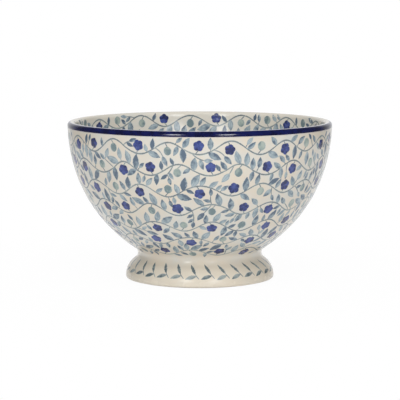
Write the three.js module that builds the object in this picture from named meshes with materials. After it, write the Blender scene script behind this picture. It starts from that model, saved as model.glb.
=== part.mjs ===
// A glazed stoneware bowl on a flared pedestal foot, in millimetres, +Z up.
// The origin is the middle of the standing ring, on the table.
// Every piece is turned about the Z axis, so a piece is an outline of radius and height.
import * as THREE from 'three';

// Cup, measured over the glaze
const RIM_DIAMETER = 160;
const WALL_RISE = 77; // from the neck up to the lower edge of the rim band
const WALL_LOWER_PULL = 27.7; // how far the wall keeps the slope that it leaves the neck with
const WALL_UPPER_PULL = 34.2; // how far it keeps the slope that it reaches the band with
const WALL_LEAN = 2.5; // degrees that it leans out at the band
const BAND_REACH = 1; // height of the band below the rounding of the lip
const BAND_SWEEP = 66; // degrees that the band reaches up round the lip
const LIP_THICKNESS = 4.4; // rounded in full
const FLOOR_THICKNESS = 5.6; // in the middle of the cup
const INSIDE_UPPER_PULL = 43; // how far the inside runs upright below the lip
const INSIDE_FLOOR_PULL = 46; // how far the floor runs level out from the middle

// Foot, measured over the glaze
const NECK_DIAMETER = 75.4;
const NECK_HEIGHT = 15.5;
const COVE_RADIUS = 4.15; // hollow round the neck
const COVE_SWEEP = 56; // degrees that the hollow turns above the neck
const FOOT_FLARE = 7.3; // how far the foot stands out past the neck
const BELLY_HEIGHT = 1.9; // where the foot is widest
const TOE_SWEEP = 41; // degrees that the toe turns under the belly
const GLAZE_LINE = 0.6; // the coats end this far above the table
const STAND_BEVEL = 1.9; // bare slope from the glaze in to the standing ring
const STAND_WIDTH = 5; // flat of the standing ring

// Joint and coats
const LUTE_WIDTH = 6; // width of the joint between cup and foot
const SLIP_THICKNESS = 0.8;
const GLAZE = 0.4;

// Facets
const SEGMENTS = 48;
const WALL_STEPS = 9;
const INSIDE_STEPS = 10;
const BAND_STEPS = 2;
const LIP_STEPS = 3;
const COVE_STEPS = 3;
const SHOULDER_STEPS = 4;
const TOE_STEPS = 3;

const rimRadius = RIM_DIAMETER / 2;
const neckRadius = NECK_DIAMETER / 2;
const bandHeight = NECK_HEIGHT + WALL_RISE;
const lipHeight = bandHeight + BAND_REACH;
const floorHeight = NECK_HEIGHT + FLOOR_THICKNESS;
const neckAngle = Math.PI;

// A station is a spot on the glazed surface: where it is, and which way it faces.
const face = (station) => station.at;
const clay = (station) => station.at.clone().addScaledVector(station.facing, -GLAZE);

function fractions(steps) {
  return Array.from({ length: steps + 1 }, (_, i) => i / steps);
}

// Stations along a round stretch. The clay is inside the circle, or outside it where bulge is -1.
function arc(centre, radius, from, to, steps, bulge = 1) {
  return fractions(steps).map((t) => {
    const angle = THREE.MathUtils.lerp(from, to, t);
    const out = new THREE.Vector2(Math.cos(angle), Math.sin(angle));
    return { at: centre.clone().addScaledVector(out, radius), facing: out.multiplyScalar(bulge) };
  });
}

// Stations along a cubic curve, with the air on its right-hand side.
function cubic(p0, p1, p2, p3, steps) {
  const curve = new THREE.CubicBezierCurve(p0, p1, p2, p3);
  const slope = new THREE.QuadraticBezierCurve(p1.clone().sub(p0), p2.clone().sub(p1), p3.clone().sub(p2));
  return fractions(steps).map((t) => {
    const along = slope.getPoint(t).normalize();
    return { at: curve.getPoint(t), facing: new THREE.Vector2(along.y, -along.x) };
  });
}

// Joins stretches end to end, keeping one station where two of them meet.
function chain(first, ...rest) {
  return rest.reduce((all, next) => all.concat(next.slice(1)), first);
}

// The outside surface, from the glaze line up over the lip and down to the middle of the floor

const toeSweep = THREE.MathUtils.degToRad(TOE_SWEEP);
const toeRadius = (BELLY_HEIGHT - GLAZE_LINE) / Math.sin(toeSweep);
const bellyRadius = neckRadius + FOOT_FLARE;
const toe = arc(new THREE.Vector2(bellyRadius - toeRadius, BELLY_HEIGHT), toeRadius, -toeSweep, 0, TOE_STEPS);

// The shoulder of the foot and the hollow of the neck are two circles that touch.
const bellyToNeck = NECK_HEIGHT - BELLY_HEIGHT;
const shoulderRadius = (FOOT_FLARE ** 2 + bellyToNeck ** 2) / (2 * FOOT_FLARE) - COVE_RADIUS;
const shoulderCentre = new THREE.Vector2(bellyRadius - shoulderRadius, BELLY_HEIGHT);
const coveCentre = new THREE.Vector2(neckRadius + COVE_RADIUS, NECK_HEIGHT);
const turnover = coveCentre.clone().sub(shoulderCentre).angle();
const shoulder = arc(shoulderCentre, shoulderRadius, 0, turnover, SHOULDER_STEPS);

// The slip shows as a sliver of the hollow, just under the neck.
const slipAngle = neckAngle + Math.asin(SLIP_THICKNESS / (COVE_RADIUS + GLAZE));
const coveEnd = neckAngle - THREE.MathUtils.degToRad(COVE_SWEEP);
const lowerCove = arc(coveCentre, COVE_RADIUS, turnover + Math.PI, slipAngle, COVE_STEPS, -1);
const slipCove = arc(coveCentre, COVE_RADIUS, slipAngle, neckAngle, 1, -1);
const upperCove = arc(coveCentre, COVE_RADIUS, neckAngle, coveEnd, COVE_STEPS, -1);

// The band starts on the wall's slope, rounds the outer side of the lip and stops short of its top.
const lean = THREE.MathUtils.degToRad(WALL_LEAN);
const bandSweep = THREE.MathUtils.degToRad(BAND_SWEEP);
const lipRadius = LIP_THICKNESS / 2;
const lipCentre = new THREE.Vector2(rimRadius - lipRadius, lipHeight);
const bandRound = arc(lipCentre, lipRadius, -lean, bandSweep, BAND_STEPS);
const lip = chain(
  arc(lipCentre, lipRadius, bandSweep, Math.PI / 2, BAND_STEPS),
  arc(lipCentre, lipRadius, Math.PI / 2, Math.PI, LIP_STEPS),
);

const wallStart = upperCove.at(-1).at;
const wallEnd = bandRound[0].at.clone();
wallEnd.x -= (wallEnd.y - bandHeight) * Math.tan(lean);
wallEnd.y = bandHeight;
const startSlope = new THREE.Vector2(Math.sin(coveEnd), -Math.cos(coveEnd));
const endSlope = new THREE.Vector2(Math.sin(lean), Math.cos(lean));
const wall = cubic(
  wallStart,
  wallStart.clone().addScaledVector(startSlope, WALL_LOWER_PULL),
  wallEnd.clone().addScaledVector(endSlope, -WALL_UPPER_PULL),
  wallEnd,
  WALL_STEPS,
);
const band = [wall.at(-1), ...bandRound];

const insideRadius = rimRadius - LIP_THICKNESS;
const inside = cubic(
  new THREE.Vector2(insideRadius, lipHeight),
  new THREE.Vector2(insideRadius, lipHeight - INSIDE_UPPER_PULL),
  new THREE.Vector2(INSIDE_FLOOR_PULL, floorHeight),
  new THREE.Vector2(0, floorHeight),
  INSIDE_STEPS,
);

// Hollow under the foot: the clay corners that its coat lies on

const neckClay = clay(slipCove.at(-1));
const slipClay = clay(slipCove[0]);
const wellRadius = neckClay.x - LUTE_WIDTH;
const standOuter = clay(toe[0]).x - STAND_BEVEL;
const standInner = standOuter - STAND_WIDTH;
const wellCorner = new THREE.Vector2(wellRadius, neckClay.y);
const slipCorner = new THREE.Vector2(wellRadius, slipClay.y);
const standCorner = new THREE.Vector2(standInner, 0);
const wellEdge = standCorner.clone().lerp(slipCorner, GLAZE_LINE / slipCorner.y);
const wellSlope = slipCorner.clone().sub(standCorner).normalize();
const wellFacing = new THREE.Vector2(-wellSlope.y, wellSlope.x);

// Pieces

// Turns an outline about Z. An outline that stays off the axis is closed on itself.
function turned(name, outline, material) {
  const onAxis = outline[0].x === 0;
  const ring = onAxis ? outline : [...outline, outline[0]];
  const geometry = new THREE.LatheGeometry(ring, SEGMENTS);
  geometry.rotateX(Math.PI / 2);
  const mesh = new THREE.Mesh(geometry, material);
  mesh.name = name;
  return mesh;
}

// The outline of a coat on a run of stations: back along the clay, then forward along the glazed face.
function coat(stations) {
  return [...stations.map(clay).reverse(), ...stations.map(face)];
}

function bowlBody() {
  const underside = new THREE.Vector2(0, NECK_HEIGHT);
  const skin = chain(upperCove, wall, band, lip, inside);
  return turned('bowl_body', [underside, ...skin.map(clay)], stoneware);
}

function pedestalFoot() {
  const base = [standCorner, new THREE.Vector2(standOuter, 0)];
  const skin = chain(toe, shoulder, lowerCove);
  return turned('pedestal_foot', [...base, ...skin.map(clay), slipCorner, wellEdge], stoneware);
}

function lutingSlip() {
  return turned('luting_slip', [slipCorner, slipClay, neckClay, wellCorner], slip);
}

function outerGlaze() {
  return turned('outer_glaze', coat(chain(toe, shoulder, lowerCove, slipCove, upperCove, wall)), glaze);
}

function rimBand() {
  return turned('rim_band', coat(band), cobalt);
}

function innerGlaze() {
  return turned('inner_glaze', coat(chain(lip, inside)), glaze);
}

function footWellGlaze() {
  const glazed = [
    new THREE.Vector2(0, wellCorner.y - GLAZE),
    new THREE.Vector2(wellRadius - GLAZE, wellCorner.y - GLAZE),
    new THREE.Vector2(wellRadius - GLAZE, slipCorner.y),
    wellEdge.clone().addScaledVector(wellFacing, GLAZE),
  ];
  const bare = [wellEdge, slipCorner, wellCorner, new THREE.Vector2(0, wellCorner.y)];
  return turned('foot_well_glaze', [...glazed, ...bare], glaze);
}

const stoneware = new THREE.MeshStandardMaterial({ color: 0xcdbfa6, roughness: 0.85, metalness: 0 });
const slip = new THREE.MeshStandardMaterial({ color: 0xbfae93, roughness: 0.9, metalness: 0 });
const glaze = new THREE.MeshStandardMaterial({ color: 0xe4ddcb, roughness: 0.12, metalness: 0 });
const cobalt = new THREE.MeshStandardMaterial({ color: 0x272b6e, roughness: 0.1, metalness: 0 });

const bowl = new THREE.Group();
bowl.add(bowlBody(), pedestalFoot(), lutingSlip());
bowl.add(outerGlaze(), rimBand(), innerGlaze(), footWellGlaze());

export default bowl;
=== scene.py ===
import math
import random

import bpy
import numpy as np
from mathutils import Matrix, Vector


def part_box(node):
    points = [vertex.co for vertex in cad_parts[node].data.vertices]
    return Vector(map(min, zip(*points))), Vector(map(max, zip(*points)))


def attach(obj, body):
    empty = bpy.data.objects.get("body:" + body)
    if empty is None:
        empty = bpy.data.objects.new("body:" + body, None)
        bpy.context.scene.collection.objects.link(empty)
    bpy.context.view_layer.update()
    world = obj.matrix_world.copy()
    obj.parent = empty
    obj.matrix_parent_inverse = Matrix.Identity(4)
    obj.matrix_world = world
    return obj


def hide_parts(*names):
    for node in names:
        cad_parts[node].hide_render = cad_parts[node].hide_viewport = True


# A glazed stoneware bowl on a flared foot, painted with rows of leafy vine.
# Shapes are worked out in millimetres, over the glaze, and meshes are made in metres.
# A spot on a surface is an angle round the axis and a distance along the profile.

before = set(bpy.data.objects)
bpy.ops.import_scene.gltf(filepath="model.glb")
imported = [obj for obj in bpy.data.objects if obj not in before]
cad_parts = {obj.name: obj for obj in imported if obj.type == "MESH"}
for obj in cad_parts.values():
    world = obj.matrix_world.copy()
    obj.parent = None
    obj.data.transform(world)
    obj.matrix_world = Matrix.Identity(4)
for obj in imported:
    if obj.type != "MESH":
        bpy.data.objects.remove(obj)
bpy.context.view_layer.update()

MM = 0.001
FULL_TURN = 2 * math.pi


def low(node):
    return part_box(node)[0] / MM


def high(node):
    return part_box(node)[1] / MM


# Sizes that are the same as in the solids
GLAZE = 0.4
LIP_RADIUS = 2.2
WALL_LOWER_PULL = 27.7
WALL_UPPER_PULL = 34.2
WALL_LEAN = math.radians(2.5)
BAND_SWEEP = math.radians(66)
INSIDE_UPPER_PULL = 43.0
INSIDE_FLOOR_PULL = 46.0
NECK_RADIUS = 37.7
COVE_RADIUS = 4.15
COVE_SWEEP = math.radians(56)
BELLY_HEIGHT = 1.9
TOE_SWEEP = math.radians(41)
STAND_BEVEL = 1.9
STAND_WIDTH = 5.0
LUTE_WIDTH = 6.0

# Sizes that are read from model.glb
RIM_RADIUS = high("rim_band").x
BAND_HEIGHT = low("rim_band").z
LIP_HEIGHT = high("inner_glaze").z - LIP_RADIUS
FLOOR_HEIGHT = low("inner_glaze").z + GLAZE
NECK_HEIGHT = low("bowl_body").z
SLIP_BOTTOM = low("luting_slip").z
BELLY_RADIUS = high("pedestal_foot").x + GLAZE
GLAZE_LINE = low("outer_glaze").z

# Roundings of edges that the solids leave sharp
STAND_ROUND = 0.4
WELL_ROUND = 1.2

# Facets
SEGMENTS = 256
ARC_STEP = 0.5
CURVE_STEP = 1.6
WELL_STEPS = 15
SHARP_ANGLE = math.radians(35)
ON_AXIS = 1e-6


# Profile

def arc(centre, radius, start, end, bulge=1):
    """Stations (radius, height, facing) on a round stretch. Bulge is -1 where the clay is outside it."""
    steps = max(3, round(abs(end - start) * radius / ARC_STEP))
    angle = np.linspace(start, end, steps + 1)
    out = np.column_stack([np.cos(angle), np.sin(angle)])
    return np.hstack([np.array(centre) + radius * out, bulge * out])


def cubic(p0, p1, p2, p3):
    """Stations on a cubic curve with the air on its right-hand side."""
    p0, p1, p2, p3 = (np.array(p, float) for p in (p0, p1, p2, p3))
    reach = sum(np.linalg.norm(b - a) for a, b in ((p0, p1), (p1, p2), (p2, p3)))
    t = np.linspace(0, 1, round(reach / CURVE_STEP) + 1)[:, None]
    at = (1 - t) ** 3 * p0 + 3 * (1 - t) ** 2 * t * p1 + 3 * (1 - t) * t ** 2 * p2 + t ** 3 * p3
    slope = (1 - t) ** 2 * (p1 - p0) + 2 * (1 - t) * t * (p2 - p1) + t ** 2 * (p3 - p2)
    slope /= np.linalg.norm(slope, axis=1, keepdims=True)
    return np.column_stack([at, slope[:, 1], -slope[:, 0]])


def chain(first, *rest):
    """Joins stretches end to end, keeping one station where two of them meet."""
    return np.vstack([first, *(stretch[1:] for stretch in rest)])


def clay(stations):
    return stations[:, :2] - GLAZE * stations[:, 2:]


toe_radius = (BELLY_HEIGHT - GLAZE_LINE) / math.sin(TOE_SWEEP)
toe = arc((BELLY_RADIUS - toe_radius, BELLY_HEIGHT), toe_radius, -TOE_SWEEP, 0)

# The shoulder of the foot and the hollow of the neck are two circles that touch.
flare = BELLY_RADIUS - NECK_RADIUS
belly_to_neck = NECK_HEIGHT - BELLY_HEIGHT
shoulder_radius = (flare ** 2 + belly_to_neck ** 2) / (2 * flare) - COVE_RADIUS
shoulder_centre = (BELLY_RADIUS - shoulder_radius, BELLY_HEIGHT)
cove_centre = (NECK_RADIUS + COVE_RADIUS, NECK_HEIGHT)
turnover = math.atan2(cove_centre[1] - shoulder_centre[1], cove_centre[0] - shoulder_centre[0])
shoulder = arc(shoulder_centre, shoulder_radius, 0, turnover)

cove_end = math.pi - COVE_SWEEP
lower_cove = arc(cove_centre, COVE_RADIUS, turnover + math.pi, math.pi, -1)
upper_cove = arc(cove_centre, COVE_RADIUS, math.pi, cove_end, -1)

lip_centre = (RIM_RADIUS - LIP_RADIUS, LIP_HEIGHT)
band_round = arc(lip_centre, LIP_RADIUS, -WALL_LEAN, BAND_SWEEP)
lip = arc(lip_centre, LIP_RADIUS, BAND_SWEEP, math.pi)

wall_start = upper_cove[-1, :2]
wall_end = np.array([
    band_round[0, 0] - (band_round[0, 1] - BAND_HEIGHT) * math.tan(WALL_LEAN),
    BAND_HEIGHT,
])
wall = cubic(
    wall_start,
    wall_start + WALL_LOWER_PULL * np.array([math.sin(cove_end), -math.cos(cove_end)]),
    wall_end - WALL_UPPER_PULL * np.array([math.sin(WALL_LEAN), math.cos(WALL_LEAN)]),
    wall_end,
)
band = np.vstack([wall[-1], band_round])

inside_radius = RIM_RADIUS - 2 * LIP_RADIUS
cup = cubic(
    (inside_radius, LIP_HEIGHT),
    (inside_radius, LIP_HEIGHT - INSIDE_UPPER_PULL),
    (INSIDE_FLOOR_PULL, FLOOR_HEIGHT),
    (0, FLOOR_HEIGHT),
)


class Surface:
    """A glazed face: stations, with the distance along the profile at each."""

    def __init__(self, *stretches):
        self.stations = chain(*stretches)
        steps = np.linalg.norm(np.diff(self.stations[:, :2], axis=0), axis=1)
        self.along = np.concatenate([[0], np.cumsum(steps)])
        self.length = self.along[-1]

    def radius(self, s):
        return np.interp(s, self.along, self.stations[:, 0])

    def points(self, theta, s, lift):
        """Spots raised off the face by lift, as XYZ."""
        r, z, out, up = (np.interp(s, self.along, column) for column in self.stations.T)
        r = r + lift * out
        return np.column_stack([r * np.cos(theta), r * np.sin(theta), z + lift * up])


outside = Surface(toe, shoulder, lower_cove, upper_cove, wall)
inside = Surface(lip, cup)
wall_bottom = Surface(toe, shoulder, lower_cove, upper_cove).length


# Meshes

def new_piece(name, points, faces, uvs):
    """A piece from points in millimetres, with its map."""
    mesh = bpy.data.meshes.new(name)
    mesh.from_pydata((np.asarray(points) * MM).tolist(), [], faces)
    mesh.uv_layers.new(name="OFBake").data.foreach_set("uv", np.asarray(uvs, np.float32).ravel())
    mesh.shade_smooth()
    mesh.set_sharp_from_angle(angle=SHARP_ANGLE)
    mesh.validate()
    piece = bpy.data.objects.new(name, mesh)
    bpy.context.scene.collection.objects.link(piece)
    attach(piece, "root")
    return piece


def turned(name, stretches, node):
    """Turns a closed outline about Z. A stretch is its points, and both ends of its strip of the map."""
    outline = []
    strips = []
    for points, start, end in stretches:
        points = np.asarray(points, float)
        run = np.concatenate([[0], np.cumsum(np.linalg.norm(np.diff(points, axis=0), axis=1))])
        v = start + (end - start) * run / run[-1]
        outline.extend(points[:-1])
        strips.extend(zip(v[:-1], v[1:]))
    angles = np.arange(SEGMENTS) * FULL_TURN / SEGMENTS
    rings = []
    verts = []
    for r, z in outline:
        if r < ON_AXIS:
            rings.append([len(verts)] * SEGMENTS)
            verts.append((0, 0, z))
        else:
            rings.append(list(range(len(verts), len(verts) + SEGMENTS)))
            verts.extend((r * math.cos(a), r * math.sin(a), z) for a in angles)
    faces = []
    uvs = []
    for i, (v0, v1) in enumerate(strips):
        here, there = rings[i], rings[(i + 1) % len(rings)]
        for k in range(SEGMENTS):
            n = (k + 1) % SEGMENTS
            u0, u1 = k / SEGMENTS, (k + 1) / SEGMENTS
            corners = [(here[k], u0, v0), (here[n], u1, v0), (there[n], u1, v1), (there[k], u0, v1)]
            seen = {corner[0]: corner for corner in corners}
            if len(seen) > 2:
                faces.append(list(seen))
                uvs.extend(corner[1:] for corner in seen.values())
    piece = new_piece(name, verts, faces, uvs)
    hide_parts(node)
    return piece


def thinned(points, every):
    """Every few of a run of points, with both its ends."""
    keep = sorted({*range(0, len(points), every), len(points) - 1})
    return points[keep]


# A coat's map: the glazed face takes most of it, the two edges and the back the rest.
FACE_STRIP = (0.0, 0.9)
FIRST_EDGE_STRIP = (0.915, 0.918)
LAST_EDGE_STRIP = (0.925, 0.928)
BACK_STRIP = (0.94, 1.0)
BACK_THINNING = 6
FOOT_THINNING = 3


def coat(name, stations, node):
    """A glaze coat on a run of stations: back along the clay, then forward along the glazed face."""
    face = stations[:, :2]
    back = thinned(clay(stations)[::-1], BACK_THINNING)
    stretches = [
        (back, *BACK_STRIP),
        ((back[-1], face[0]), *FIRST_EDGE_STRIP),
        (face, *FACE_STRIP),
        ((face[-1], back[0]), *LAST_EDGE_STRIP),
    ]
    return turned(name, stretches, node)


outer_coat = coat("outer_coat", outside.stations, "outer_glaze")
inner_coat = coat("inner_coat", inside.stations, "inner_glaze")
band_coat = coat("band_coat", band, "rim_band")

cup_skin = clay(chain(upper_cove, wall, band, lip, cup))
cup_base = np.array([(0, NECK_HEIGHT), cup_skin[0]])
cup_middle = np.array([cup_skin[-1], cup_base[0]])
cup_clay = turned(
    "cup_clay",
    [(cup_base, 0.0, 0.2), (cup_skin, 0.22, 0.98), (cup_middle, 0.99, 0.99)],
    "bowl_body",
)

well_radius = NECK_RADIUS - GLAZE - LUTE_WIDTH
stand_outer = clay(toe)[0, 0] - STAND_BEVEL
stand_inner = stand_outer - STAND_WIDTH
foot_skin = clay(chain(toe, shoulder, lower_cove))
foot_skin = foot_skin[foot_skin[:, 1] < SLIP_BOTTOM]
well_corner = np.array([well_radius, NECK_HEIGHT])
slip_corner = np.array([well_radius, SLIP_BOTTOM])
stand_corner = np.array([stand_inner, 0.0])
well_slope = (slip_corner - stand_corner) / np.linalg.norm(slip_corner - stand_corner)
well_facing = np.array([-well_slope[1], well_slope[0]])
well_edge = stand_corner + (slip_corner - stand_corner) * GLAZE_LINE / SLIP_BOTTOM
bevel_slope = np.array([foot_skin[0, 0] - stand_outer, foot_skin[0, 1]])
bevel_slope /= np.linalg.norm(bevel_slope)

# Each corner of the standing ring is rounded over three points.
standing = np.array([
    well_edge,
    stand_corner + STAND_ROUND * well_slope,
    stand_corner + (0.4 * STAND_ROUND, 0.12 * STAND_ROUND),
    stand_corner + (1.2 * STAND_ROUND, 0),
    (stand_outer - 1.2 * STAND_ROUND, 0),
    (stand_outer - 0.1 * STAND_ROUND, 0.12 * STAND_ROUND),
    np.array([stand_outer, 0.0]) + STAND_ROUND * bevel_slope,
    foot_skin[0],
])
foot_top = np.array([foot_skin[-1], slip_corner, well_edge])
foot_clay = turned(
    "foot_clay",
    [(standing, 0.0, 0.6), (thinned(foot_skin, FOOT_THINNING), 0.62, 0.8), (foot_top, 0.82, 1.0)],
    "pedestal_foot",
)

ceiling = NECK_HEIGHT - GLAZE
well_fillet_centre = (well_radius - GLAZE - WELL_ROUND, ceiling - WELL_ROUND)
well_fillet = arc(well_fillet_centre, WELL_ROUND, math.pi / 2, 0, -1)[:, :2]
ceiling_radii = np.linspace(0, well_fillet[0, 0], WELL_STEPS + 1)[:-1]

# The coat thins out over its last half millimetre, at the standing ring.
well_face = np.vstack([
    np.column_stack([ceiling_radii, np.full(WELL_STEPS, ceiling)]),
    well_fillet,
    well_edge + GLAZE * well_facing + 0.5 * well_slope,
    well_edge + 0.6 * GLAZE * well_facing,
])
well_back = np.array([well_edge, slip_corner, well_corner, (0, NECK_HEIGHT)])
well_coat = turned(
    "well_coat",
    [
        (well_face, 0.0, 0.8),
        ((well_face[-1], well_back[0]), 0.82, 0.83),
        (well_back, 0.85, 1.0),
        ((well_back[-1], well_face[0]), 1.0, 1.0),
    ],
    "foot_well_glaze",
)


# Brush strokes

EDGE_LIFT = 0.015
SINK = 0.05
STEM_RISE = 0.03
LEAF_RISE = 0.04
BUD_RISE = 0.045
BLOSSOM_RISE = 0.05
ROUND_ROWS = 9
LEAF_ROWS = 8
STEM_ROWS = 13
TWIG_ROWS = 8
STALK_ROWS = 6
HANGER_ROWS = 5
LEAF_ACROSS = (-1, -0.55, 0, 0.55, 1)
STEM_ACROSS = (-1, 0, 1)

# The bend of a straight line, which can't be 0
STRAIGHT = 1e-5

# What a stroke leaves free round it in its cell of the map
CELL_MARGIN_U = 0.06
CELL_MARGIN_V = 0.1


def short_turn(angle):
    """The same turn, the shorter way round."""
    return (angle + math.pi) % FULL_TURN - math.pi


def walk(surface, theta, s, heading, length, bend, t):
    """Spots at fractions t of a curved line. Heading 0 is round the axis, 90 degrees up the profile."""
    bend = bend or STRAIGHT
    x = length * (np.sin(heading + bend * t) - math.sin(heading)) / bend
    y = length * (math.cos(heading) - np.cos(heading + bend * t)) / bend
    return theta + x / surface.radius(s + y / 2), s + y


def eased(rows):
    """Fractions from 0 to 1, closer together at both ends."""
    return (1 - np.cos(np.linspace(0, math.pi, rows))) / 2


# Outlines: the share of its half width that a stroke has at a fraction of its length

def leaf_outline(t):
    return np.maximum(np.sin(math.pi * t ** 0.86) ** 0.9, 0.03)


def petal_outline(t):
    return np.maximum(np.sin(math.pi * t ** 1.45) ** 0.62, 0.12)


def round_outline(t):
    return np.maximum(np.sqrt(np.clip(1 - (2 * t - 1) ** 2, 0, 1)), 0.08)


def stem_outline(t):
    return 0.7 + 0.3 * np.sin(math.pi * t)


def stroke_marks(along, across, tint):
    """What the material reads at each point: ink, along, across and tint. Ink is 0 down both sides."""
    rows, columns = len(along), len(across)
    ink = np.ones((rows, columns))
    ink[:, [0, -1]] = 0
    top = (ink.ravel(), np.repeat(along, columns), np.tile(across, rows))
    under = (np.zeros(2 * rows), np.repeat(along, 2), np.tile(across[[0, -1]], rows))
    marks = [np.concatenate(pair) for pair in zip(top, under)]
    return np.column_stack([*marks, np.full(len(marks[0]), tint)])


def stroke_faces(rows, columns):
    """The faces of a stroke: its points, and the row and column in the map for each of them."""
    last = columns - 1
    end = rows - 1

    def top(i, j):
        return i * columns + j

    def under(i, side):
        return rows * columns + 2 * i + side

    for i in range(end):
        n = i + 1
        for j in range(last):
            spots = [(i, j), (i, j + 1), (n, j + 1), (n, j)]
            yield [top(*spot) for spot in spots], spots
        left_edge = [(i, 0), (n, 0), (n, 0), (i, 0)]
        yield [top(i, 0), top(n, 0), under(n, 0), under(i, 0)], left_edge
        right_edge = [(n, last), (i, last), (i, last), (n, last)]
        yield [top(n, last), top(i, last), under(i, 1), under(n, 1)], right_edge
        yield [under(i, 0), under(n, 0), under(n, 1), under(i, 1)], left_edge
    foot = [(0, j) for j in reversed(range(columns))]
    yield [*(top(*spot) for spot in foot), under(0, 0), under(0, 1)], [*foot, (0, 0), (0, last)]
    tip = [(end, j) for j in range(columns)]
    yield [*(top(*spot) for spot in tip), under(end, 1), under(end, 0)], [*tip, (end, last), (end, 0)]


class Paint:
    """Strokes on one surface that become one piece. A stroke is a thin lens, sunk into the glaze."""

    def __init__(self, surface, rise):
        self.surface = surface
        self.rise = rise
        self.strokes = []

    def add(self, theta, s, half_width, across, tint):
        """A stroke along a line of spots, with its half width at each."""
        r = self.surface.radius(s)
        run = np.column_stack([np.gradient(theta) * r, np.gradient(s)])
        run /= np.linalg.norm(run, axis=1, keepdims=True)
        side = half_width[:, None] * np.array(across)
        spots = (theta[:, None] + run[:, 1:] * side / r[:, None], s[:, None] - run[:, :1] * side)
        self.strokes.append((*spots, np.array(across), tint))

    def stroke_points(self, theta, s, along, across):
        """The top of a stroke, row by row, and then the edges of its underside."""
        lift = EDGE_LIFT + self.rise * np.outer(np.sin(math.pi * along), 1 - across ** 2)
        top = self.surface.points(theta.ravel(), s.ravel(), lift.ravel())
        edges = (theta[:, [0, -1]].ravel(), s[:, [0, -1]].ravel())
        under = self.surface.points(*edges, np.full(2 * len(along), -SINK))
        return np.vstack([top, under])

    def piece(self, name, slot, cell_shape):
        """Makes the mesh. Each stroke has a cell of the map, cell_shape times as long as it is high."""
        wide = max(1, round(math.sqrt(len(self.strokes) / cell_shape)))
        tall = math.ceil(len(self.strokes) / wide)
        verts = []
        faces = []
        uvs = []
        marks = []
        for index, (theta, s, across, tint) in enumerate(self.strokes):
            along = np.linspace(0, 1, len(theta))
            u = (index % wide + CELL_MARGIN_U + (1 - 2 * CELL_MARGIN_U) * along) / wide
            v = (index // wide + CELL_MARGIN_V + (1 - 2 * CELL_MARGIN_V) * (across + 1) / 2) / tall
            first = len(verts)
            verts.extend(self.stroke_points(theta, s, along, across))
            marks.append(stroke_marks(along, across, tint))
            for face, corners in stroke_faces(*theta.shape):
                faces.append([first + point for point in face])
                uvs.extend((u[i], v[j]) for i, j in corners)
        piece = new_piece(name, verts, faces, uvs)
        for label, values in zip(("ink", "along", "across", "tint"), np.vstack(marks).T):
            layer = piece.data.attributes.new(label, "FLOAT", "POINT")
            layer.data.foreach_set("value", values.astype(np.float32))
        return piece


# Vine

class Wave:
    """Half a wave of stem: where it begins and how far it turns, and the distance along the profile."""

    def __init__(self, begin, span, middle, swing, side, grows):
        self.begin = begin
        self.span = span
        self.middle = middle
        self.swing = swing
        self.side = side
        self.grows = grows

    def at(self, t):
        return self.begin + self.span * t, self.middle + self.swing * np.sin(math.pi * t)

    def spot(self, t):
        theta, s = self.at(t)
        return float(theta), float(s)


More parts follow.
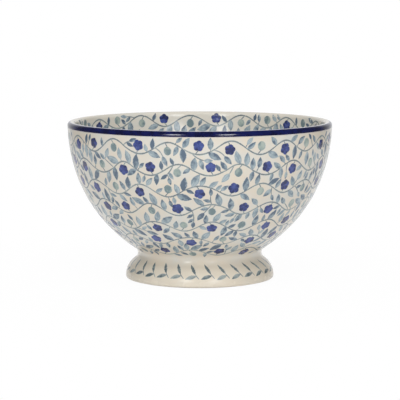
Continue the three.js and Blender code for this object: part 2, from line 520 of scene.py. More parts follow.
class Garland:
    """Rows of vine round a surface, between two distances along its profile.

    Blossoms is how many of every five things that hang are blossoms. The others are buds.
    """

    # Rows and waves
    ROW_PITCH = 13.2
    WAVE = 35.0
    SWING = 3.7
    SWING_SPREAD = (0.85, 1.15)
    NODE_DRIFT = 0.09
    OVERLAP = 0.015

    # What hangs in each hollow of a wave, and its stalk
    HANG_CYCLE = 5
    HOLLOW = 5.0
    HANG_DRIFT = 0.9
    STALK_LEAN = 0.11
    STALK_STOP = 2.3

    # Stems and side shoots. Shoots have leaves at some of their rows.
    STEM_WIDTH = 1.2
    STALK_WIDTH = 0.85
    TWIG_TRIES = 2000
    TWIG_WIDTH = 0.9
    TWIG_LENGTH = (4.5, 9.5)
    TWIG_BEND = 0.9
    TWIG_ANGLE = (30, 85)
    TWIG_FOOT = 2
    TWIG_LEAF_ANGLE = (36, 62)
    LONG_TWIG = 6.5
    LONG_TWIG_LEAVES = (5, 3, 2)
    SHORT_TWIG_LEAVES = (4, 2)

    # Leaves: width for length, how far they bend, where they sit on a wave and on which side, and lengths
    LEAF_WIDTH = (0.49, 0.57)
    LEAF_BEND = 0.45
    LEAF_ANGLE = (32, 62)
    LEAF_PLACES = ((0.02, 1), (0.27, 1), (0.5, 1), (0.75, 1), (0.06, -1), (0.93, -1))
    LEAF_DRIFT = 0.04
    LONG_LEAF = (7.8, 9.4)
    MIDDLE_LEAF = (6.4, 7.4)
    LEAST_LEAF = 5.4
    TIP_LEAF = (6.4, 8.0)
    LEAST_TIP_LEAF = 5.2
    SIDE_LEAF = (6.0, 7.6)
    LEAST_SIDE_LEAF = 5.0

    # Blossoms, buds and the rosette. Its strokes have a start, a length and a half width.
    PETALS = 5
    PETAL_LENGTH = 3.3
    PETAL_HALF = 1.9
    PETAL_SHADE = 0.08
    BLOSSOM_RADIUS = 3.0
    BLOSSOM_SPREAD = (0.94, 1.06)
    BUD_SIZE = (4.9, 5.7)
    BUD_HALF = 0.49
    ROSETTE_LEAVES = 8
    ROSETTE_PETAL = (0.3, 3.2, 1.7)
    ROSETTE_LEAF = (4.2, 6.0, 1.6)

    # Room: discs that a leaf is tried with, discs that it takes, and how near strokes may come
    LEAF_TRY = np.array([0.42, 0.68, 0.95])
    LEAF_TAKE = np.linspace(0.1, 0.95, 6)
    GAP = -0.1
    NEAR = 14.0

    # Leaves in gaps: rounds of room and lengths, and the stalks that they grow on
    FILL_TRIES = 5000
    FILLS = ((2.3, (8.4, 7.2)), (1.7, (6.6, 5.6)), (1.25, (4.8,)))
    FILL_REACH = 11.0
    FILL_LEAN = 0.35
    FILL_OVERHANG = 0.4
    STALK_FREE = 1.3
    STALK_ROOM = 0.35
    LEAST_STALK = 0.7

    def __init__(self, surface, start, end, blossoms, seed):
        self.surface = surface
        self.start = start
        self.end = end
        self.blossom_share = blossoms
        self.rng = random.Random(seed)
        self.taken = np.zeros((0, 3))
        self.knots = np.zeros((0, 2))
        self.shoots = []
        self.stems = Paint(surface, STEM_RISE)
        self.leaves = Paint(surface, LEAF_RISE)
        self.buds = Paint(surface, BUD_RISE)
        self.blossoms = Paint(surface, BLOSSOM_RISE)

    def fits(self, theta, s, radius):
        """True if discs at these spots lie between start and end, clear of every disc that is taken."""
        if np.any(s - radius < self.start) or np.any(s + radius > self.end):
            return False
        r = self.surface.radius(s)
        near = self.taken[np.abs(self.taken[:, 1] - s.mean()) < self.NEAR]
        near = near[np.abs(short_turn(theta.mean() - near[:, 0])) * r.min() < self.NEAR]
        turn = short_turn(theta[:, None] - near[:, 0])
        away = np.hypot(turn * r[:, None], s[:, None] - near[:, 1])
        return bool(np.all(away > radius[:, None] + near[:, 2] + self.GAP))

    def take(self, theta, s, radius):
        self.taken = np.vstack([self.taken, np.column_stack([theta, s, radius])])

    def stem(self, theta, s, width):
        half = width / 2 * stem_outline(np.linspace(0, 1, len(theta)))
        self.stems.add(theta, s, half, STEM_ACROSS, self.rng.random())
        self.take(theta, s, np.full(len(theta), width / 2))
        self.knots = np.vstack([self.knots, np.column_stack([theta, s])])

    def leaf(self, theta, s, heading, lengths):
        """Paints a leaf from its foot, at the first of the lengths that there is room for."""
        rng = self.rng
        for length in lengths:
            half = length * rng.uniform(*self.LEAF_WIDTH) / 2
            bend = rng.uniform(-self.LEAF_BEND, self.LEAF_BEND)
            at = walk(self.surface, theta, s, heading, length, bend, self.LEAF_TRY)
            if self.fits(*at, half * leaf_outline(self.LEAF_TRY)):
                break
        else:
            return False
        t = eased(LEAF_ROWS)
        line = walk(self.surface, theta, s, heading, length, bend, t)
        self.leaves.add(*line, half * leaf_outline(t), LEAF_ACROSS, rng.random())
        at = walk(self.surface, theta, s, heading, length, bend, self.LEAF_TAKE)
        self.take(*at, half * leaf_outline(self.LEAF_TAKE))
        return True

    def blossom(self, theta, s):
        """Five petals that meet in the middle."""
        rng = self.rng
        turn = rng.uniform(0, FULL_TURN)
        tint = rng.random()
        size = rng.uniform(*self.BLOSSOM_SPREAD)
        t = eased(ROUND_ROWS)
        half = self.PETAL_HALF * size * petal_outline(t)
        for petal in range(self.PETALS):
            heading = turn + petal * FULL_TURN / self.PETALS
            line = walk(self.surface, theta, s, heading, self.PETAL_LENGTH * size, 0, t)
            self.blossoms.add(*line, half, LEAF_ACROSS, (tint + self.PETAL_SHADE * petal) % 1)
        self.take([theta], [s], [self.BLOSSOM_RADIUS * size])

    def bud(self, theta, s, heading):
        """A round bud on its spot."""
        size = self.rng.uniform(*self.BUD_SIZE)
        t = eased(ROUND_ROWS)
        foot = walk(self.surface, theta, s, heading + math.pi, size / 2, 0, np.array([1.0]))
        line = walk(self.surface, foot[0][0], foot[1][0], heading, size, 0, t)
        self.buds.add(*line, self.BUD_HALF * size * round_outline(t), LEAF_ACROSS, self.rng.random())
        self.take([theta], [s], [size / 2])

    def row(self, middle, number):
        """A wavy stem with a blossom or a bud in each hollow."""
        rng = self.rng
        r = float(self.surface.radius(middle))
        halves = 2 * max(3, round(FULL_TURN * r / self.WAVE))
        offset = rng.uniform(0, FULL_TURN)
        nodes = []
        for half in range(halves):
            drift = rng.uniform(-self.NODE_DRIFT, self.NODE_DRIFT)
            nodes.append(offset + (half + drift) * FULL_TURN / halves)
        nodes.append(nodes[0] + FULL_TURN)
        grows = 1 if number % 2 == 0 else -1
        waves = []
        for half in range(halves):
            side = 1 if half % 2 == 0 else -1
            swing = side * self.SWING * rng.uniform(*self.SWING_SPREAD)
            waves.append(Wave(nodes[half], nodes[half + 1] - nodes[half], middle, swing, side, grows))
        t = np.linspace(-self.OVERLAP, 1 + self.OVERLAP, STEM_ROWS)[::grows]
        for wave in waves:
            self.stem(*wave.at(t), self.STEM_WIDTH)
        t = np.linspace(0, 1, HANGER_ROWS)
        for half, wave in enumerate(waves):
            theta, crest = wave.spot(0.5)
            theta += rng.uniform(-self.HANG_DRIFT, self.HANG_DRIFT) / r
            spot = crest - wave.side * self.HOLLOW
            if (2 * half + number) % self.HANG_CYCLE < self.blossom_share:
                self.blossom(theta, spot)
            else:
                self.bud(theta, spot, -wave.side * math.pi / 2)
            foot = wave.spot(0.5 - self.STALK_LEAN * grows)
            tip = spot + wave.side * self.STALK_STOP
            self.stem(foot[0] + (theta - foot[0]) * t, foot[1] + (tip - foot[1]) * t, self.STALK_WIDTH)
        return waves

    def dress(self, wave):
        """Puts leaves on both sides of half a wave of stem."""
        rng = self.rng
        for share, outer in self.LEAF_PLACES:
            t = share + rng.uniform(-self.LEAF_DRIFT, self.LEAF_DRIFT)
            theta, s = wave.spot(t)
            rise = wave.swing * math.pi * math.cos(math.pi * t)
            slope = math.atan2(rise, wave.span * self.surface.radius(s))
            forward = slope if wave.grows > 0 else slope + math.pi
            turn = wave.side * outer * wave.grows * math.radians(rng.uniform(*self.LEAF_ANGLE))
            lengths = (rng.uniform(*self.LONG_LEAF), rng.uniform(*self.MIDDLE_LEAF), self.LEAST_LEAF)
            self.leaf(theta, s, forward + turn, lengths)
            self.shoots.append((theta, s, forward))

    def rosette(self):
        """A blossom in a ring of leaves, round the axis at the end of the profile."""
        for paint, count, turn, (start, length, half), rows, outline in (
            (self.blossoms, self.PETALS, 0, self.ROSETTE_PETAL, ROUND_ROWS, petal_outline),
            (self.leaves, self.ROSETTE_LEAVES, 0.5, self.ROSETTE_LEAF, LEAF_ROWS, leaf_outline),
        ):
            t = eased(rows)
            s = self.surface.length - start - length * t
            for stroke in range(count):
                theta = np.full(rows, (stroke + turn) * FULL_TURN / count)
                paint.add(theta, s, half * outline(t), LEAF_ACROSS, self.rng.random())

    def twig(self, theta, s, heading):
        """A side shoot with a leaf at its tip and a few on either side."""
        rng = self.rng
        length = rng.uniform(*self.TWIG_LENGTH)
        bend = rng.uniform(-self.TWIG_BEND, self.TWIG_BEND)
        t = np.linspace(0, 1, TWIG_ROWS)
        line = walk(self.surface, theta, s, heading, length, bend, t)
        free = [part[self.TWIG_FOOT:] for part in line]
        if not self.fits(*free, np.full(len(free[0]), self.TWIG_WIDTH / 2)):
            return
        spots = [(float(a), float(b)) for a, b in zip(*line)]
        if not self.leaf(*spots[-1], heading + bend, (rng.uniform(*self.TIP_LEAF), self.LEAST_TIP_LEAF)):
            return
        side = rng.choice((1, -1))
        for place in self.LONG_TWIG_LEAVES if length > self.LONG_TWIG else self.SHORT_TWIG_LEAVES:
            turn = side * math.radians(rng.uniform(*self.TWIG_LEAF_ANGLE))
            forward = heading + bend * t[place]
            lengths = (rng.uniform(*self.SIDE_LEAF), self.LEAST_SIDE_LEAF)
            self.leaf(*spots[place], forward + turn, lengths)
            self.shoots.append((*spots[place], forward))
            side = -side
        self.stem(*line, self.TWIG_WIDTH)

    def fill(self, room, lengths):
        """Grows leaves into the gaps with this much room, each from the nearest stem."""
        rng = self.rng
        t = np.linspace(0, 1, STALK_ROWS)
        for _ in range(self.FILL_TRIES):
            s = rng.uniform(self.start, self.end)
            theta = rng.uniform(0, FULL_TURN)
            lean = rng.uniform(-self.FILL_LEAN, self.FILL_LEAN)
            if not self.fits(np.array([theta]), np.array([s]), np.array([room])):
                continue
            r = float(self.surface.radius(s))
            turn = short_turn(theta - self.knots[:, 0])
            away = np.hypot(turn * r, s - self.knots[:, 1])
            knot = int(np.argmin(away))
            if away[knot] > self.FILL_REACH:
                continue
            root = self.knots[knot]
            heading = math.atan2(s - root[1], turn[knot] * r)
            bare = max(0.0, float(away[knot]) - self.FILL_OVERHANG * lengths[0])
            line = walk(self.surface, root[0], root[1], heading, bare, 0, t)
            clear = bare * t > self.STALK_FREE
            free = [part[clear] for part in line]
            if clear.any() and not self.fits(*free, np.full(clear.sum(), self.STALK_ROOM)):
                continue
            foot = (float(line[0][-1]), float(line[1][-1]))
            if self.leaf(*foot, heading + lean, lengths) and bare > self.LEAST_STALK:
                self.stem(*line, self.STALK_WIDTH)

    def grow(self, first_row, last_row):
        """Paints everything: rows first, then the leaves on them, side shoots, and leaves in the gaps."""
        rng = self.rng
        span = self.end - self.start - first_row - last_row
        gaps = round(span / self.ROW_PITCH)
        lowest = self.start + first_row
        rows = [self.row(lowest + number * span / gaps, number) for number in range(gaps + 1)]
        for waves in rows:
            for wave in waves:
                self.dress(wave)
        for _ in range(self.TWIG_TRIES):
            theta, s, forward = rng.choice(self.shoots)
            turn = rng.choice((1, -1)) * math.radians(rng.uniform(*self.TWIG_ANGLE))
            self.twig(theta, s, forward + turn)
        for room, lengths in self.FILLS:
            self.fill(room, lengths)


outer_garland = Garland(
    outside, start=wall_bottom - 1.6, end=outside.length - 0.15, blossoms=3, seed=11
)
outer_garland.grow(first_row=5.6, last_row=6.4)
inner_garland = Garland(inside, start=2.0, end=inside.length - 9, blossoms=2, seed=23)
inner_garland.grow(first_row=6.0, last_row=9.0)
inner_garland.rosette()


# Border on the foot: an upright and a lying leaf on each stalk

BORDER_UNITS = 30
BORDER_BASE = 5.2
BORDER_PHASE = math.radians(2.4)
BORDER_DRIFT = 0.15
BORDER_LEAN = 0.08
STALK_FOOT = 2.4
STALK_LENGTH = 4.3
STALK_HALF = 0.36
STALK_HEADING = math.radians(131)
STALK_BEND = -0.15
UPRIGHT_LENGTH = 8.1
UPRIGHT_HALF = 1.15
UPRIGHT_HEADING = math.radians(116)
UPRIGHT_BEND = -0.1
LYING_LENGTH = 7.0
LYING_HALF = 1.3
LYING_HEADING = math.radians(188)
LYING_BEND = 0.3
LYING_FOOT = (0.8, 1.75)

border = Paint(outside, LEAF_RISE)
border_stems = Paint(outside, STEM_RISE)
border_rng = random.Random(5)
leaf_t = eased(LEAF_ROWS)
stalk_t = np.linspace(0, 1, STALK_ROWS)
for unit in range(BORDER_UNITS):
    theta = BORDER_PHASE + unit * FULL_TURN / BORDER_UNITS
    s = BORDER_BASE + border_rng.uniform(-BORDER_DRIFT, BORDER_DRIFT)
    r = float(outside.radius(s))
    lean = border_rng.uniform(-BORDER_LEAN, BORDER_LEAN)
    foot = (theta + STALK_FOOT / r, s)
    stalk = walk(outside, *foot, STALK_HEADING, STALK_LENGTH, STALK_BEND, stalk_t)
    border_stems.add(*stalk, STALK_HALF * stem_outline(stalk_t), STEM_ACROSS, border_rng.random())
    foot = (float(stalk[0][-2]), float(stalk[1][-2]))
    upright = walk(outside, *foot, UPRIGHT_HEADING + lean, UPRIGHT_LENGTH, UPRIGHT_BEND, leaf_t)
    border.add(*upright, UPRIGHT_HALF * leaf_outline(leaf_t), LEAF_ACROSS, border_rng.random())
    foot = (theta + LYING_FOOT[0] / r, s + LYING_FOOT[1])
    lying = walk(outside, *foot, LYING_HEADING + lean, LYING_LENGTH, LYING_BEND, leaf_t)
    border.add(*lying, LYING_HALF * leaf_outline(leaf_t), LEAF_ACROSS, border_rng.random())


# Materials

def rgb(red, green, blue):
    """A colour as it is seen on a screen, from 0 to 255, for a shader."""
    def straight(value):
        value /= 255
        return value / 12.92 if value <= 0.04045 else ((value + 0.055) / 1.055) ** 2.4
    return (straight(red), straight(green), straight(blue), 1.0)


CREAM = rgb(220, 213, 200)
CREAM_WARM = rgb(223, 212, 195)
CREAM_PALE = rgb(215, 214, 207)
# Painted light in part: the foot's cream is lighter as well as warmer, standing in for light thrown up by
# the floor.
CREAM_FOOT = rgb(226, 216, 198)
# Painted light: a paler cream for the inside, which makes up for the shade inside the bowl.
INSIDE_PAINTED_LIGHT_CREAM = rgb(226, 222, 211)
HALO = rgb(174, 186, 191)
COBALT = rgb(15, 23, 80)
COBALT_DEEP = rgb(7, 12, 55)
BLEED = rgb(118, 128, 172)
STONEWARE = rgb(208, 194, 168)
STONEWARE_DARK = rgb(178, 160, 132)
IRON = rgb(120, 92, 66)
SLIP = rgb(190, 174, 148)

# Pale, middle and deep colours of a stroke
LEAF_COLOURS = (rgb(170, 184, 190), rgb(139, 156, 165), rgb(84, 102, 122))
STEM_COLOURS = (rgb(154, 162, 158), rgb(131, 142, 141), rgb(102, 113, 118))
BUD_COLOURS = (rgb(172, 183, 175), rgb(150, 165, 160), rgb(111, 131, 136))
BLOSSOM_COLOURS = (rgb(66, 84, 152), rgb(46, 61, 132), rgb(22, 34, 88))
BORDER_COLOURS = (rgb(164, 173, 171), rgb(136, 147, 148), rgb(96, 109, 114))

# Where the glaze changes, and how much at most: the foot is warmer and painted lighter, its own warmer
# tone with painted light for light thrown up by the floor; the toe is duller, and blue has run out of the
# band. The inside is painted paler all over: painted light for the shade inside the bowl.
FOOT_FADE = (10 * MM, 17 * MM)
FOOT_WARMTH_AND_PAINTED_LIGHT = 0.8
TOE_FADE = (3 * MM, 8 * MM)
TOE_DULLNESS = 0.1
BLEED_RADII = ((RIM_RADIUS - LIP_RADIUS) * MM, band[-1, 0] * MM)
BLEED_HEIGHTS = ((BAND_HEIGHT - 1) * MM, (BAND_HEIGHT + 2) * MM)
BLEED_SHARE = 0.8
INSIDE_PAINTED_LIGHT_SHARE = 0.5

# Roughness, shine, and the depth of bumps in millimetres
GLAZE_ROUGHNESS = (0.12, 0.2)
BAND_ROUGHNESS = (0.11, 0.17)
CLAY_ROUGHNESS = (0.78, 0.92)
BAND_SPECULAR = 0.7
RIPPLE_DEPTH = 0.012
GRAIN_DEPTH = 0.05

# Noise: scales per metre, and the span that most of it lies in
PATCH_SCALE = 60
CLOUD_SCALE = 190
RIPPLE_SCALE = 150
SHINE_SCALE = 90
STREAK_SCALE = 210
CLAY_SCALE = 320
SPECK_SCALE = 1400
GRAIN_SCALE = 2200
CLAY_SHINE_SCALE = 500
EDGE_SCALE = 1150
WASH_SCALE = 330
NOISE_SPAN = (0.3, 0.7)


def plug(tree, socket, value):
    """Links a socket to another one, or sets it to a plain value."""
    if isinstance(value, bpy.types.NodeSocket):
        tree.links.new(value, socket)
    else:
        socket.default_value = value


def smooth_ramp(tree, value, start, end, start_level, end_level):
    """Goes smoothly from one level to the other while the value goes from start to end."""
    node = tree.nodes.new("ShaderNodeMapRange")
    node.interpolation_type = "SMOOTHSTEP"
    labels = ("Value", "From Min", "From Max", "To Min", "To Max")
    for label, number in zip(labels, (value, start, end, start_level, end_level)):
        plug(tree, node.inputs[label], number)
    return node.outputs["Result"]


class Nodes:
    """Writes one material, a short call for each node."""

    def __init__(self, name):
        self.material = bpy.data.materials.new(name)
        self.material.use_nodes = True
        self.tree = self.material.node_tree
        self.shader = self.tree.nodes["Principled BSDF"]
        self.place = self.tree.nodes.new("ShaderNodeTexCoord").outputs["Object"]

    def plug(self, socket, value):
        plug(self.tree, socket, value)

    def axes(self):
        node = self.tree.nodes.new("ShaderNodeSeparateXYZ")
        self.plug(node.inputs[0], self.place)
        return [node.outputs[axis] for axis in "XYZ"]

    def noise(self, scale, detail=2.0, roughness=0.5):
        node = self.tree.nodes.new("ShaderNodeTexNoise")
        self.plug(node.inputs["Vector"], self.place)
        self.plug(node.inputs["Scale"], scale)
        self.plug(node.inputs["Detail"], detail)
        self.plug(node.inputs["Roughness"], roughness)
        return node.outputs["Fac"]

    def ramp(self, value, start, end, start_level=0.0, end_level=1.0):
        return smooth_ramp(self.tree, value, start, end, start_level, end_level)

    def math(self, operation, a, b=0.0):
        node = self.tree.nodes.new("ShaderNodeMath")
        node.operation = operation
        self.plug(node.inputs[0], a)
        self.plug(node.inputs[1], b)
        return node.outputs[0]

    def mix(self, share, a, b):
        node = self.tree.nodes.new("ShaderNodeMix")
        node.data_type = "RGBA"
        self.plug(node.inputs[0], share)
        self.plug(node.inputs[6], a)
        self.plug(node.inputs[7], b)
        return node.outputs[2]

    def mark(self, name):
        node = self.tree.nodes.new("ShaderNodeAttribute")
        node.attribute_name = name
        return node.outputs["Fac"]

    def bump(self, height, depth):
        """Depth is in millimetres."""
        node = self.tree.nodes.new("ShaderNodeBump")
        node.inputs["Strength"].default_value = 1.0
        node.inputs["Distance"].default_value = depth * MM
        self.plug(node.inputs["Height"], height)
        self.plug(self.shader.inputs["Normal"], node.outputs["Normal"])

    def finish(self, colour, roughness):
        self.plug(self.shader.inputs["Base Color"], colour)
        self.plug(self.shader.inputs["Roughness"], roughness)
        return self.material


def cream(nodes, inner=False):
    """The glaze's colour: faintly mottled, warmer on the foot with painted light from the floor, paler
    inside as painted light, and blue where the band has run into it.
    """
    patches = nodes.ramp(nodes.noise(PATCH_SCALE, 3), 0.34, 0.66)
    colour = nodes.mix(patches, CREAM_PALE, CREAM_WARM)
    colour = nodes.mix(nodes.ramp(nodes.noise(CLOUD_SCALE), 0.4, 0.68), colour, CREAM)
    # Painted light: the inside is painted paler, to make up for the shade inside the bowl.
    if inner:
        colour = nodes.mix(INSIDE_PAINTED_LIGHT_SHARE, colour, INSIDE_PAINTED_LIGHT_CREAM)
    x, y, z = nodes.axes()
    # Painted light in part: the foot is painted lighter and warmer, for light thrown up by the floor.
    colour = nodes.mix(nodes.ramp(z, *FOOT_FADE, FOOT_WARMTH_AND_PAINTED_LIGHT, 0.0), colour, CREAM_FOOT)
    squares = nodes.math("ADD", nodes.math("MULTIPLY", x, x), nodes.math("MULTIPLY", y, y))
    lip_side = nodes.ramp(nodes.math("SQRT", squares), *BLEED_RADII)
    blue = nodes.math("MULTIPLY", lip_side, nodes.ramp(z, *BLEED_HEIGHTS, 0.0, BLEED_SHARE))
    return nodes.mix(blue, colour, BLEED)


def gloss(nodes, roughness=GLAZE_ROUGHNESS):
    """The glaze's shine, with the slight ripple that it melts to. It is thin and duller on the toe."""
    nodes.bump(nodes.noise(RIPPLE_SCALE), RIPPLE_DEPTH)
    height = nodes.axes()[2]
    dull = nodes.ramp(height, *TOE_FADE, TOE_DULLNESS, 0.0)
    return nodes.math("ADD", nodes.ramp(nodes.noise(SHINE_SCALE), *NOISE_SPAN, *roughness), dull)


def glaze_material(name, inner=False):
    nodes = Nodes(name)
    return nodes.finish(cream(nodes, inner), gloss(nodes))


def band_material():
    nodes = Nodes("cobalt_band")
    streaks = nodes.ramp(nodes.noise(STREAK_SCALE, 3), *NOISE_SPAN)
    nodes.plug(nodes.shader.inputs["Specular IOR Level"], BAND_SPECULAR)
    return nodes.finish(nodes.mix(streaks, COBALT_DEEP, COBALT), gloss(nodes, BAND_ROUGHNESS))


def clay_material(name, pale, dark):
    """Bare fired clay with iron specks."""
    nodes = Nodes(name)
    colour = nodes.mix(nodes.ramp(nodes.noise(CLAY_SCALE, 4, 0.6), 0.35, 0.68), pale, dark)
    colour = nodes.mix(nodes.ramp(nodes.noise(SPECK_SCALE, 1), 0.7, 0.78, 0.0, 0.7), colour, IRON)
    nodes.bump(nodes.noise(GRAIN_SCALE, 3), GRAIN_DEPTH)
    return nodes.finish(colour, nodes.ramp(nodes.noise(CLAY_SHINE_SCALE), *NOISE_SPAN, *CLAY_ROUGHNESS))


def paint_material(name, colours, vein=0.0, pool=0.35, inner=False):
    """Thin colour under the glaze: washed out in places, darker where it pooled, soft at its edge."""
    pale, middle, deep = colours
    nodes = Nodes(name)
    grain = nodes.ramp(nodes.noise(EDGE_SCALE), 0.25, 0.75, -0.16, 0.16)
    edge = nodes.math("ADD", nodes.mark("ink"), grain)
    cover = nodes.ramp(edge, 0.22, 0.6, 0.0, 0.97)
    ground = nodes.mix(nodes.ramp(edge, -0.1, 0.3, 0.0, 0.85), cream(nodes, inner), HALO)
    blots = nodes.ramp(nodes.noise(WASH_SCALE, 3), *NOISE_SPAN, -0.45, 0.45)
    wash = nodes.math("ADD", nodes.mark("tint"), blots)
    wash = nodes.math("ADD", wash, nodes.ramp(nodes.mark("along"), 0.1, 0.95, 0.12, -0.2))
    wash = nodes.math("ADD", wash, nodes.ramp(nodes.mark("across"), -0.7, 0.7, -0.18, 0.18))
    colour = nodes.mix(nodes.ramp(wash, 0.05, 0.6), deep, middle)
    colour = nodes.mix(nodes.ramp(wash, 0.55, 1.15), colour, pale)
    colour = nodes.mix(nodes.ramp(edge, 0.5, 0.95, pool, 0.0), colour, deep)
    if vein:
        off_middle = nodes.math("ABSOLUTE", nodes.mark("across"))
        colour = nodes.mix(nodes.ramp(off_middle, 0.04, 0.24, vein, 0.0), colour, deep)
    return nodes.finish(nodes.mix(cover, ground, colour), gloss(nodes))


def garland_pieces(garland, side, inner):
    """The four pieces of a garland. A cell shape is about how long the strokes are for their width."""
    for paint, kind, slot, cell_shape, colours, vein, pool in (
        (garland.stems, "stems", "glaze", 5, STEM_COLOURS, 0.0, 0.35),
        (garland.leaves, "leaves", "glaze", 2.5, LEAF_COLOURS, 0.25, 0.5),
        (garland.buds, "buds", "glaze", 1, BUD_COLOURS, 0.0, 0.35),
        (garland.blossoms, "blossoms", "cobalt_glaze", 1, BLOSSOM_COLOURS, 0.2, 0.6),
    ):
        piece = paint.piece(f"vine_{kind}_{side}", slot, cell_shape)
        piece.data.materials.append(paint_material(f"{kind}_{side}", colours, vein, pool, inner))


garland_pieces(outer_garland, "outside", inner=False)
# Painted light: the strokes inside stand on the paler painted cream.
garland_pieces(inner_garland, "inside", inner=True)

glaze = glaze_material("cream_glaze")
stoneware = clay_material("stoneware_clay", STONEWARE, STONEWARE_DARK)
border_paint = paint_material("border_paint", BORDER_COLOURS, vein=0.3)
for piece, material in (
    (outer_coat, glaze),
    # Painted light: the inside coat's cream is painted paler.
    (inner_coat, glaze_material("inside_glaze_painted_lighter", inner=True)),
    (well_coat, glaze),
    (band_coat, band_material()),
    (cup_clay, stoneware),
    (foot_clay, stoneware),
    (border.piece("foot_border_leaves", "glaze", 2.5), border_paint),
    (border_stems.piece("foot_border_stems", "glaze", 5), border_paint),
):
    piece.data.materials.append(material)

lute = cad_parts["luting_slip"]
lute.data.materials.clear()
lute.data.materials.append(clay_material("slip_clay", SLIP, STONEWARE_DARK))


# Studio, in metres

FLOOR_RADIUS = 0.5
FLOOR_COLOUR = (0.92, 0.92, 0.92, 1.0)
FLOOR_FADE = (0.05, 0.25)
FLOOR_LEAST_WHITE = 0.97

# The world, by the direction from in front of the bowl (-1) to behind it (1)
FILL_REACH = (-0.8, 0.4)
FRONT_LEVEL = 0.29
BACK_LEVEL = 0.38
ROOM_REACH = (0.6, 1.0)
ROOM_LEVEL = 0.1
BACKDROP_LEVEL = 0.9

STRIP_FOOT = Vector((0, -1.4, 0.1))
STRIP_TOP = Vector((0, -1.27, 0.62))
STRIP_LEVEL = 8.0
LEFT_STRIP = (-0.53, 0.32)
RIGHT_STRIP = (0.575, 0.36)
TOP_PLACE = Vector((0, -0.6, 1.0))
TOP_SIZE = 0.7
TOP_LEVEL = 3.8
BACK_PLACE = Vector((0, 1.4, 0.45))
BACK_SIZE = 0.6
BACK_LIGHT_LEVEL = 6.5
AIM_HEIGHT = 0.05

CAMERA_PLACE = Vector((0, -1.1585, 0.1854))
CAMERA_AIM = Vector((0.00015, 0, 0.04729))
CAMERA_SENSOR = 36
CAMERA_LENS = 172.5


def either(tree, path, first, *rest):
    """1 where a ray is of one of these kinds, or else 0."""
    result = path.outputs[first]
    for label in rest:
        node = tree.nodes.new("ShaderNodeMath")
        node.operation = "MAXIMUM"
        tree.links.new(result, node.inputs[0])
        tree.links.new(path.outputs[label], node.inputs[1])
        result = node.outputs[0]
    return result


def mixed(tree, share, first, second):
    """Two shaders, the second by this share."""
    node = tree.nodes.new("ShaderNodeMixShader")
    for socket, value in zip(node.inputs, (share, first, second)):
        tree.links.new(value, socket)
    return node.outputs[0]


def floor_material():
    """White paper near the bowl, where it takes the shadow. Farther out it is as white as the backdrop."""
    material = bpy.data.materials.new("white_floor")
    material.use_nodes = True
    tree = material.node_tree
    nodes = tree.nodes
    paper = nodes["Principled BSDF"]
    paper.inputs["Base Color"].default_value = FLOOR_COLOUR
    paper.inputs["Roughness"].default_value = 1.0
    paper.inputs["Specular IOR Level"].default_value = 0.0
    reach = nodes.new("ShaderNodeVectorMath")
    reach.operation = "LENGTH"
    tree.links.new(nodes.new("ShaderNodeTexCoord").outputs["Object"], reach.inputs[0])
    fade = smooth_ramp(tree, reach.outputs["Value"], *FLOOR_FADE, FLOOR_LEAST_WHITE, 1.0)
    path = nodes.new("ShaderNodeLightPath")
    seen = nodes.new("ShaderNodeMath")
    seen.operation = "MULTIPLY"
    tree.links.new(fade, seen.inputs[0])
    looks = either(tree, path, "Is Camera Ray", "Is Glossy Ray", "Is Transmission Ray")
    tree.links.new(looks, seen.inputs[1])
    white = nodes.new("ShaderNodeEmission")
    surface = mixed(tree, seen.outputs[0], paper.outputs[0], white.outputs[0])
    tree.links.new(surface, nodes["Material Output"].inputs["Surface"])
    return material


def depth_background(tree, reach, near_level, far_level):
    """A white background whose level goes from near to far, over this reach of directions."""
    parts = tree.nodes.new("ShaderNodeSeparateXYZ")
    tree.links.new(tree.nodes.new("ShaderNodeTexCoord").outputs["Generated"], parts.inputs[0])
    node = tree.nodes.new("ShaderNodeBackground")
    node.inputs["Color"].default_value = (1, 1, 1, 1)
    level = smooth_ramp(tree, parts.outputs["Y"], *reach, near_level, far_level)
    tree.links.new(level, node.inputs["Strength"])
    return node.outputs[0]


def studio_world():
    """Soft fill. The glaze mirrors a dim room with a white backdrop, and the camera sees white."""
    world = bpy.data.worlds.new("studio")
    world.use_nodes = True
    tree = world.node_tree
    white = tree.nodes["Background"]
    white.inputs["Color"].default_value = (1, 1, 1, 1)
    white.inputs["Strength"].default_value = 1.0
    path = tree.nodes.new("ShaderNodeLightPath")
    fill = depth_background(tree, FILL_REACH, FRONT_LEVEL, BACK_LEVEL)
    room = depth_background(tree, ROOM_REACH, ROOM_LEVEL, BACKDROP_LEVEL)
    light = mixed(tree, path.outputs["Is Glossy Ray"], fill, room)
    seen = either(tree, path, "Is Camera Ray", "Is Transmission Ray")
    surface = mixed(tree, seen, light, white.outputs[0])
    tree.links.new(surface, tree.nodes["World Output"].inputs["Surface"])
    return world


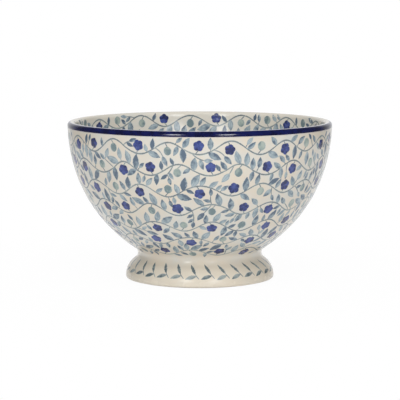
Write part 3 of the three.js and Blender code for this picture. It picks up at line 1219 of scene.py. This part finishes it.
def area_light(name, width, height, level, place, tilt):
    """A soft light, turned back from straight down by tilt; level is how bright its face is."""
    lamp = bpy.data.lights.new(name, "AREA")
    lamp.shape = "RECTANGLE"
    lamp.size = width
    lamp.size_y = height
    lamp.energy = level * math.pi * width * height
    light = bpy.data.objects.new(name, lamp)
    light.location = place
    light.rotation_euler = (tilt, 0, 0)
    light.visible_camera = False
    bpy.context.scene.collection.objects.link(light)
    return light


def strip_light(name, x, width):
    """A light in front of the bowl, that leans over it; x is where it stands."""
    rise = STRIP_TOP - STRIP_FOOT
    place = (STRIP_FOOT + STRIP_TOP) / 2 + Vector((x, 0, 0))
    return area_light(name, width, rise.length, STRIP_LEVEL, place, math.atan2(rise.z, rise.y))


def fill_light(name, size, level, place):
    """A square light that is turned to the bowl, and that the glaze doesn't mirror."""
    tilt = math.atan2(-place.y, place.z - AIM_HEIGHT)
    area_light(name, size, size, level, place, tilt).visible_glossy = False


scene = bpy.context.scene
scene.world = studio_world()
scene.view_settings.view_transform = "Standard"

floor_ring = [(FLOOR_RADIUS * math.cos(a), FLOOR_RADIUS * math.sin(a), 0)
              for a in np.arange(SEGMENTS) * FULL_TURN / SEGMENTS]
floor_mesh = bpy.data.meshes.new("floor")
floor_mesh.from_pydata(floor_ring, [], [list(range(SEGMENTS))])
floor = bpy.data.objects.new("floor", floor_mesh)
floor.data.materials.append(floor_material())
scene.collection.objects.link(floor)

strip_light("strip_left", *LEFT_STRIP)
strip_light("strip_right", *RIGHT_STRIP)
fill_light("top_light", TOP_SIZE, TOP_LEVEL, TOP_PLACE)
fill_light("back_light", BACK_SIZE, BACK_LIGHT_LEVEL, BACK_PLACE)

camera_data = bpy.data.cameras.new("camera")
camera_data.sensor_width = CAMERA_SENSOR
camera_data.lens = CAMERA_LENS
camera = bpy.data.objects.new("camera", camera_data)
camera.location = CAMERA_PLACE
camera.rotation_euler = (CAMERA_AIM - CAMERA_PLACE).to_track_quat("-Z", "Y").to_euler()
scene.collection.objects.link(camera)
scene.camera = camera
